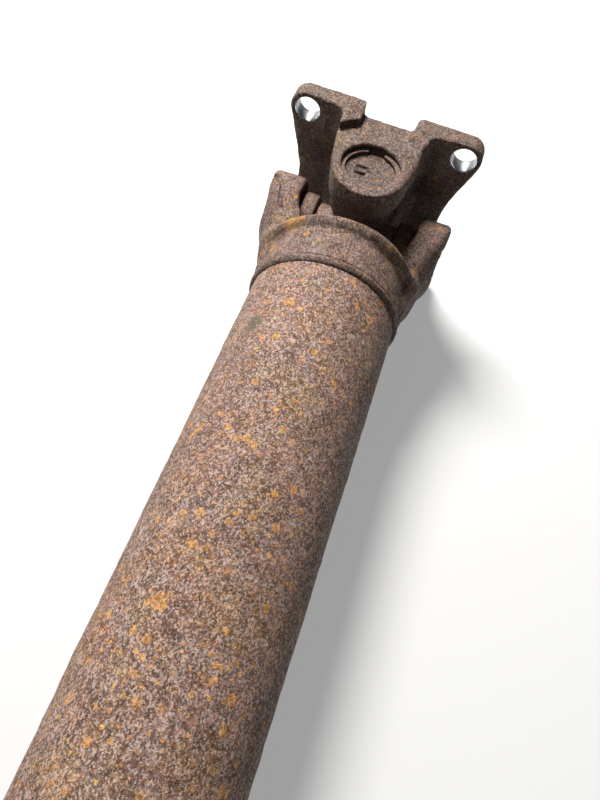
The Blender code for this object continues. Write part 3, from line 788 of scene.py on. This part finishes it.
def spider_shape(step):
    """The cross: a round body, four shouldered trunnions, and a boss for the nipple between two of them."""
    grid = Grid((-19.5, -45, -45), (19.5, 45, 45), step)
    x, y, z = grid.x, grid.y, grid.z
    body_radius, boss_radius, boss_end = 16.5, 5.2, 22.7
    body = np.sqrt(x * x + y * y + z * z) - body_radius
    for along, across in ((np.abs(z), np.hypot(x, y)), (np.abs(y), np.hypot(x, z))):
        shoulder = smooth_max(across - 13.0, along - 22.0, 0.8)
        trunnion = smooth_max(across - 9.6, along - 43.2, 1.0)
        body = smooth_min(body, np.minimum(shoulder, trunnion), 4.0)
    out = -(y + z) * math.sqrt(0.5)
    off = np.hypot(x, (y - z) * math.sqrt(0.5))
    boss = np.maximum(smooth_max(off - boss_radius, out - boss_end, 0.8), -out)
    body = smooth_min(body, boss, 2.0)
    return grid.skin(body + 0.10 * grid.grain(6, 9) + 0.05 * grid.grain(2, 10))


# ---------------------------------------------------------------- turned pieces

def eased(profile, radius, steps=3):
    """Round each corner of a profile, as far as its sides allow. Points on the axis stay."""
    closed = profile[0][1] > 0 or profile[-1][1] > 0
    count = len(profile)
    points = [np.array(p, dtype=float) for p in profile]
    made = []
    for i, here in enumerate(points):
        if not closed and i in (0, count - 1):
            made.append(tuple(here))
            continue
        before, after = points[i - 1] - here, points[(i + 1) % count] - here
        room = min(radius, 0.4 * np.linalg.norm(before), 0.4 * np.linalg.norm(after))
        start = here + before / np.linalg.norm(before) * room
        end = here + after / np.linalg.norm(after) * room
        for t in np.linspace(0, 1, steps + 1):
            made.append(tuple((1 - t) ** 2 * start + 2 * t * (1 - t) * here + t * t * end))
    return made


def lathe(profile, segments):
    """Points and faces of a profile of (along, radius) spun about z."""
    closed = profile[0][1] > 0 or profile[-1][1] > 0
    points, rows = [], []
    for along, radius in profile:
        if radius <= 0:
            rows.append([len(points)] * segments)
            points.append((0.0, 0.0, along))
            continue
        rows.append(list(range(len(points), len(points) + segments)))
        for i in range(segments):
            angle = math.tau * i / segments
            points.append((radius * math.cos(angle), radius * math.sin(angle), along))
    pairs = list(zip(rows, rows[1:]))
    if closed:
        pairs.append((rows[-1], rows[0]))
    faces = []
    for a, b in pairs:
        for i in range(segments):
            j = (i + 1) % segments
            corners = [a[i], a[j], b[j], b[i]]
            faces.append([c for n, c in enumerate(corners) if c not in corners[:n]])
    return np.array(points), faces


def aim(points, degrees):
    """Turn points about x, such as from +z to an arm of the cross."""
    turn = np.array(Matrix.Rotation(math.radians(degrees), 3, "X"))
    return points @ turn.T


def along_shaft(points):
    """Turn points drawn along z so that they lie along x."""
    return points[:, [2, 0, 1]]


ARMS = {"shaft_left": -90, "shaft_right": 90, "flange_top": 0, "flange_bottom": 180}
BODIES = {
    "rear": {"shaft": "shaft", "flange": "rear_flange_yoke", "spider": "rear_spider"},
    "front": {"shaft": "slip_yoke", "flange": "front_flange_yoke", "spider": "front_spider"},
}


# ---------------------------------------------------------------- the pieces

def skinned(name, end, shape, surface, body):
    """A piece made in a joint's frame, and smooth all over."""
    points, quads = shape
    piece(name, to_world(points, end), quads, surface, body, [name], sharp=None)


for end, step in (("rear", STEP), ("front", FAR_STEP)):
    skinned(f"{end}_flange_yoke", end, flange_yoke_shape(step), FLANGE_RUST, BODIES[end]["flange"])
skinned("weld_yoke", "rear", weld_yoke_shape(STEP), YOKE_RUST, "shaft")
skinned("slip_yoke", "front", slip_yoke_shape(FAR_STEP), YOKE_RUST, "slip_yoke")
spider = spider_shape(FAR_STEP)
for end in ("rear", "front"):
    skinned(f"{end}_spider", end, spider, SPIDER_RUST, BODIES[end]["spider"])


def cup_shape():
    """A bearing cup along +z. Its dished end face has a centre mark and two short dashes."""
    floor, bore, face = 43.65, 12.5, CUP_END - 0.35
    wall = [(floor, 0.0), (floor, bore), (CUP_MOUTH, bore), (CUP_MOUTH, CUP_RADIUS),
            (CUP_END - 0.2, CUP_RADIUS), (CUP_END, CUP_RADIUS - 1.0), (CUP_END, 11.6),
            (face, 11.0), (face, 0.0)]
    rings = [(face, radius) for radius in np.arange(0.0, 10.6, 0.45)]
    points, faces = lathe(eased(wall, 0.5)[:-1] + rings[::-1], 96)
    on_face = (points[:, Z] > face - 0.05) & (np.hypot(points[:, X], points[:, Y]) < 10.7)
    x, y = points[on_face, X], points[on_face, Y]
    centre = np.exp(-(np.hypot(x, y) / 1.1) ** 2)
    dashes = sum(np.exp(-((x - place) / 1.05) ** 6) * np.exp(-((y - 4.4) / 3.0) ** 6)
                 for place in (-2.4, 2.4))
    centre_depth, dash_depth = 0.6, 1.4
    points[on_face, Z] -= centre_depth * centre + dash_depth * dashes
    return points, faces


def seal_shape():
    """The seal over the mouth of a cup, round +z."""
    profile = [(22.3, 10.1), (22.3, 13.4), (23.0, 14.6), (23.0, 15.6), (23.8, 16.2), (30.5, 16.2),
               (30.5, 15.3), (24.1, 15.3), (24.1, 10.1)]
    return lathe(eased(profile, 0.5), 96)


def snap_ring_shape():
    """An open spring ring round +z, with round ends."""
    section = eased([(46.35, 12.9), (46.35, 15.9), (47.9, 15.9), (47.9, 12.9)], 0.35, 2)
    gap, count, middle = 18.0, 72, 14.4
    points, faces = [], []
    for i, degrees in enumerate(np.linspace(gap, 360 - gap, count)):
        angle = math.radians(degrees)
        nip = 1.0 if 0 < i < count - 1 else 0.75
        for along, radius in section:
            radius = middle + (radius - middle) * nip
            points.append((radius * math.cos(angle), radius * math.sin(angle), along))
    side = len(section)
    for i in range(count - 1):
        for j in range(side):
            k = (j + 1) % side
            faces.append([i * side + j, (i + 1) * side + j, (i + 1) * side + k, i * side + k])
    faces.append(list(range(side))[::-1])
    faces.append([(count - 1) * side + j for j in range(side)])
    return np.array(points), faces


CUP, SEAL, RING = cup_shape(), seal_shape(), snap_ring_shape()
for end in ("rear", "front"):
    for arm, degrees in ARMS.items():
        yoke = BODIES[end][arm.split("_")[0]]
        for kind, (points, faces), surface, body in (
                ("cup", CUP, CUP_RUST, yoke),
                ("snap_ring", RING, SEAL_RUST, yoke),
                ("seal", SEAL, SEAL_RUST, BODIES[end]["spider"])):
            name = f"{end}_{kind}_{arm}"
            piece(name, to_world(aim(points, degrees), end), faces, surface, body, [name])


def nipple_shape():
    """A grease nipple standing on z = 0: hexagon, cone and ball head with its hole."""
    grid = Grid((-5.6, -5.6, -0.8), (5.6, 5.6, 8.6), 0.28)
    x, y, z = grid.x, grid.y, grid.z
    across = np.hypot(x, y)
    slanted = np.maximum(np.abs(0.866 * x + 0.5 * y), np.abs(0.866 * x - 0.5 * y))
    hexagon = np.maximum(np.abs(y), slanted) - 3.65
    hexagon = smooth_max(smooth_max(hexagon, z - 3.3, 0.4), -z, 0.2)
    cone = np.maximum(across - 2.6 + 0.36 * np.maximum(z - 3.3, 0), z - 6.6)
    head = np.sqrt(across ** 2 + (z - 6.2) ** 2) - 1.75
    neck = np.maximum(across - 1.25, z - 6.5)
    body = smooth_min(smooth_min(hexagon, np.maximum(cone, z - 4.9), 0.5), smooth_min(head, neck, 0.4), 0.3)
    body = np.maximum(body, -z)
    body = cut(body, np.maximum(across - 0.5, 6.9 - z), 0.2)
    return grid.skin(body)


def placed(shape, degrees, radius, x=0.0):
    """Stand a shape made along z on a radius of the shaft's axis."""
    points, faces = shape
    return aim(points + (0, 0, radius), degrees) + (x, 0, 0), faces


nipple = nipple_shape()
for end in ("rear", "front"):
    skinned(f"{end}_spider_nipple", end, placed(nipple, 135, 22.95), PLATED, BODIES[end]["spider"])
skinned("sleeve_nipple", "front", placed(nipple, 35, SLEEVE_RADIUS + 0.25, x=-100), PLATED, "slip_yoke")


def tube_shape():
    """The tube: fine where the eye comes close, coarser towards the far end, plain inside."""
    start, stop = TUBE_ENDS
    full_count = 252
    count = full_count
    fine_length, fine_step, coarse_step, wall = 240, 0.9, 1.9, 2.1
    places = [stop]
    while places[-1] > start:
        step = fine_step if places[-1] > REAR - fine_length else coarse_step
        places.append(places[-1] - step * (full_count / count))
    places[-1] = start
    outer = [(x, TUBE_RADIUS) for x in places]
    inner = [(x, TUBE_RADIUS - wall) for x in np.linspace(start, stop, 10)]
    points, faces = lathe(outer + inner, count)
    points = along_shaft(points)
    radius = np.hypot(points[:, Y], points[:, Z])
    outside = radius > TUBE_RADIUS - 0.5 * wall
    spot = points[outside]
    layers = ((0.22, 22, 11), (0.13, 4.5, 12), (0.10, 2.4, 13), (0.06, 1.5, 14))
    shift = sum(depth * lattice_noise(spot, size, seed) for depth, size, seed in layers) - 0.12
    points[outside, 1:] *= (1 + shift / TUBE_RADIUS)[:, None]
    return points, faces


points, faces = tube_shape()
piece("propeller_tube", points * MM, faces, TUBE_RUST, "shaft", ["propeller_tube"], sharp=50)


def bead_shape(seed):
    """A weld bead round x, centred on x = 0, with curved ripples and a wandering edge."""
    around, section, ripples = 600, 18, 118
    half_width, height, foot = 2.6, 1.8, TUBE_RADIUS - 0.5
    rng = np.random.default_rng(seed)
    turns = np.arange(around) / around
    wander = sum(rng.uniform(-1, 1) * np.sin(math.tau * (n * turns + rng.uniform())) / n
                 for n in (3, 5, 9, 17))
    half_widths = half_width + 0.30 * wander
    heights = height + 0.22 * np.roll(wander, around // 5)
    points = []
    for i, turn in enumerate(turns):
        for j in range(section):
            u = -1 + 2 * j / (section - 1)
            lag = 1.1 * (1 - u * u) / (math.tau * TUBE_RADIUS)
            ripple = 0.5 + 0.5 * math.cos(math.tau * ripples * (turn - lag))
            lift = heights[i] * (1 - u * u) ** 0.6 * (1 - 0.09 * ripple)
            angle = math.tau * turn
            radius = foot + 0.45 * (1 - abs(u)) + lift
            points.append((u * half_widths[i], radius * math.cos(angle), radius * math.sin(angle)))
    root = foot - 0.6
    for angle in math.tau * turns:
        points.append((0.0, root * math.cos(angle), root * math.sin(angle)))
    faces = []
    inner = around * section
    for i in range(around):
        k = (i + 1) % around
        for j in range(section - 1):
            faces.append([i * section + j, i * section + j + 1, k * section + j + 1, k * section + j])
        faces.append([inner + i, i * section, k * section, inner + k])
        faces.append([inner + k, k * section + section - 1, i * section + section - 1, inner + i])
    return np.array(points), faces


for name, seed in (("rear_weld_bead", 3), ("front_weld_bead", 4)):
    points, faces = bead_shape(seed)
    points[:, X] += sum(span(name, X)) / 2
    made = piece(name, points * MM, faces, WELD_RUST, "shaft", [name], sharp=None)
    roughen(made, seed, (0.10, 2.0), (0.08, 1.1))


def weight_shape():
    """A balance weight on top of the tube: a bent plate with a spot weld near each end."""
    inner, outer, half_length, half_angle = TUBE_RADIUS + FIT, TUBE_RADIUS + 2.7, 15.0, 17.0
    radian = 57.3       # in degrees
    grid = Grid((-17, -14, 34), (17, 14, 43), 0.5)
    across = np.hypot(grid.y, grid.z)
    degrees = np.degrees(np.abs(np.arctan2(grid.y, grid.z))) - half_angle
    outline = smooth_max(np.abs(grid.x) - half_length, degrees * TUBE_RADIUS / radian, 3.5)
    body = smooth_max(smooth_max(across - outer, inner - across, 0.4), outline, 1.0)
    for place in (-9.0, 9.0):
        dent = 1.6 * np.exp(-((grid.x - place) ** 2 + grid.y ** 2) / 7.0)
        body = np.maximum(body, across - outer + dent)
    return grid.skin(body + 0.08 * grid.grain(3, 21))


weight = weight_shape()
for name, degrees in (("rear_balance_weight", 165), ("front_balance_weight", -130)):
    points, faces = placed(weight, degrees, 0.0, x=sum(span(name, X)) / 2)
    piece(name, points * MM, faces, WELD_RUST, "shaft", [name], sharp=None)


def spline_shaft_shape():
    """The toothed stub that carries the slip yoke, with its cone and the spigot inside the tube."""
    teeth, root, tooth_height = 16, 16.5, 2.0
    tip = [(-80.0, 0.0), (-80.0, root - 0.7)]
    toothed = [(x, root) for x in np.linspace(-81.0, -192.0, 90)]
    journal = [(-193.2, 16.4), (-193.8, 18.4), (-203.0, 18.4), (-205.5, 20.0)]
    neck_end = -237.1
    cone = [(-209.0, 22.3), (-228.0, 35.5), (-231.5, 37.6), (-234.5, NECK_RADIUS), (neck_end, NECK_RADIUS),
            (neck_end, SPIGOT_RADIUS), (-258.0, SPIGOT_RADIUS), (-258.0, SPIGOT_BORE), (-238.0, SPIGOT_BORE),
            (-233.0, 27.0), (-233.0, 0.0)]
    points, faces = lathe(tip + toothed + eased(journal + cone, 1.2)[4:-4] + [cone[-1]], 256)
    points = along_shaft(points)
    angle = np.arctan2(points[:, Z], points[:, Y])
    wave = np.clip(1.9 * np.cos(teeth * angle), -1, 1) * 0.5 + 0.5
    fade = np.clip((-80.4 - points[:, X]) / 1.2, 0, 1) * np.clip((points[:, X] + 193.0) / 6.0, 0, 1)
    radius = np.hypot(points[:, Y], points[:, Z])
    grown = np.where(np.abs(radius - root) < 0.01, tooth_height * wave * fade, 0.0)
    points[:, 1:] *= (1 + grown / np.maximum(radius, 1.0))[:, None]
    return points, faces


points, faces = spline_shaft_shape()
piece("spline_shaft", to_world(points, "front"), faces, YOKE_RUST, "shaft", ["spline_shaft"])

# turned pieces of the slip joint, each a profile of (x, radius)
DUST_CAP = [(-158.0, 25.3), (-158.0, 28.0), (-161.0, 28.0), (-161.6, 27.3), (-163.0, 27.3), (-163.6, 28.0),
            (-174.4, 28.0), (-175.0, 27.4), (-175.0, 19.6), (-172.6, 19.6), (-172.6, 25.3)]
SPLINE_SEAL = [(-165.4, 19.0), (-165.4, 24.9), (-172.2, 24.9), (-172.2, 19.0), (-170.0, 19.6),
               (-167.6, 19.6)]
CORE_PLUG = [(-45.7, 0.0), (-45.2, 14.0), (-42.2, 18.5), (-41.8, 19.4), (-42.4, 20.0), (-45.7, 20.0)]
for name, profile, surface in (("dust_cap", DUST_CAP, PLATED), ("spline_seal", SPLINE_SEAL, RUBBER),
                               ("core_plug", CORE_PLUG, PLATED)):
    points, faces = lathe(eased(profile, 0.5), 128)
    piece(name, to_world(along_shaft(points), "front"), faces, surface, "slip_yoke", [name])

# the needle sets keep their CAD mesh
for node in SLOTS:
    if "_needles_" in node:
        bpy.data.objects[node].data.materials.clear()
        bpy.data.objects[node].data.materials.append(GREASED)


# ---------------------------------------------------------------- stage, light, camera

def lamp(name, place, target, size, power, colour=(1, 1, 1)):
    """A round lamp, in metres and watts, that faces its target."""
    light = bpy.data.lights.new(name, "AREA")
    light.shape = "DISK"
    light.size = size
    light.energy = power
    light.color = colour
    made = add_object(name, light)
    made.location = place
    made.rotation_euler = (Vector(target) - Vector(place)).to_track_quat("-Z", "Y").to_euler()


def floor():
    """A plain pale floor just under the part."""
    mesh = bpy.data.meshes.new("floor")
    half, level = 12.0, cad_bounds[0][Z] - 0.002
    mesh.from_pydata([(-half, -half, level), (half, -half, level), (half, half, level), (-half, half, level)],
                     [], [(0, 1, 2, 3)])
    made = add_object("floor", mesh)
    pale = bpy.data.materials.new("floor")
    pale.use_nodes = True
    shader = pale.node_tree.nodes["Principled BSDF"]
    shader.inputs["Base Color"].default_value = (0.30, 0.30, 0.30, 1)
    shader.inputs["Roughness"].default_value = 0.9
    shader.inputs["Emission Color"].default_value = (1.0, 1.0, 1.0, 1)
    shader.inputs["Emission Strength"].default_value = 0.32
    mesh.materials.append(pale)


floor()
middle = (REAR * MM, 0.0, 0.0)
lamp("key", (REAR * MM + 0.62, 0.54, 1.02), middle, 0.46, 60.0, (1.0, 0.985, 0.955))
lamp("fill", (REAR * MM - 0.7, 0.9, 1.1), middle, 1.2, 3.0)

world = bpy.data.worlds.new("studio")
world.use_nodes = True
background = world.node_tree.nodes["Background"]
background.inputs["Color"].default_value = (1.0, 1.0, 1.0, 1)
background.inputs["Strength"].default_value = 0.10
bpy.context.scene.world = world
bpy.context.scene.view_settings.view_transform = "Standard"

# the camera stands over the tube and looks along it at the rear joint
camera = add_object("camera", bpy.data.cameras.new("camera"))
camera.data.lens = 28.156
camera.data.sensor_width = 36.0
camera.data.clip_start = 0.01
right, up, back = (0.30884, -0.94223, 0.12970), (0.80784, 0.33184, 0.48711), (-0.50201, -0.04566, 0.86366)
place = Matrix((right, up, back)).transposed().to_4x4()
place.translation = (REAR * MM - 0.25908, -0.01918, 0.25568)
camera.matrix_world = place
bpy.context.scene.camera = camera
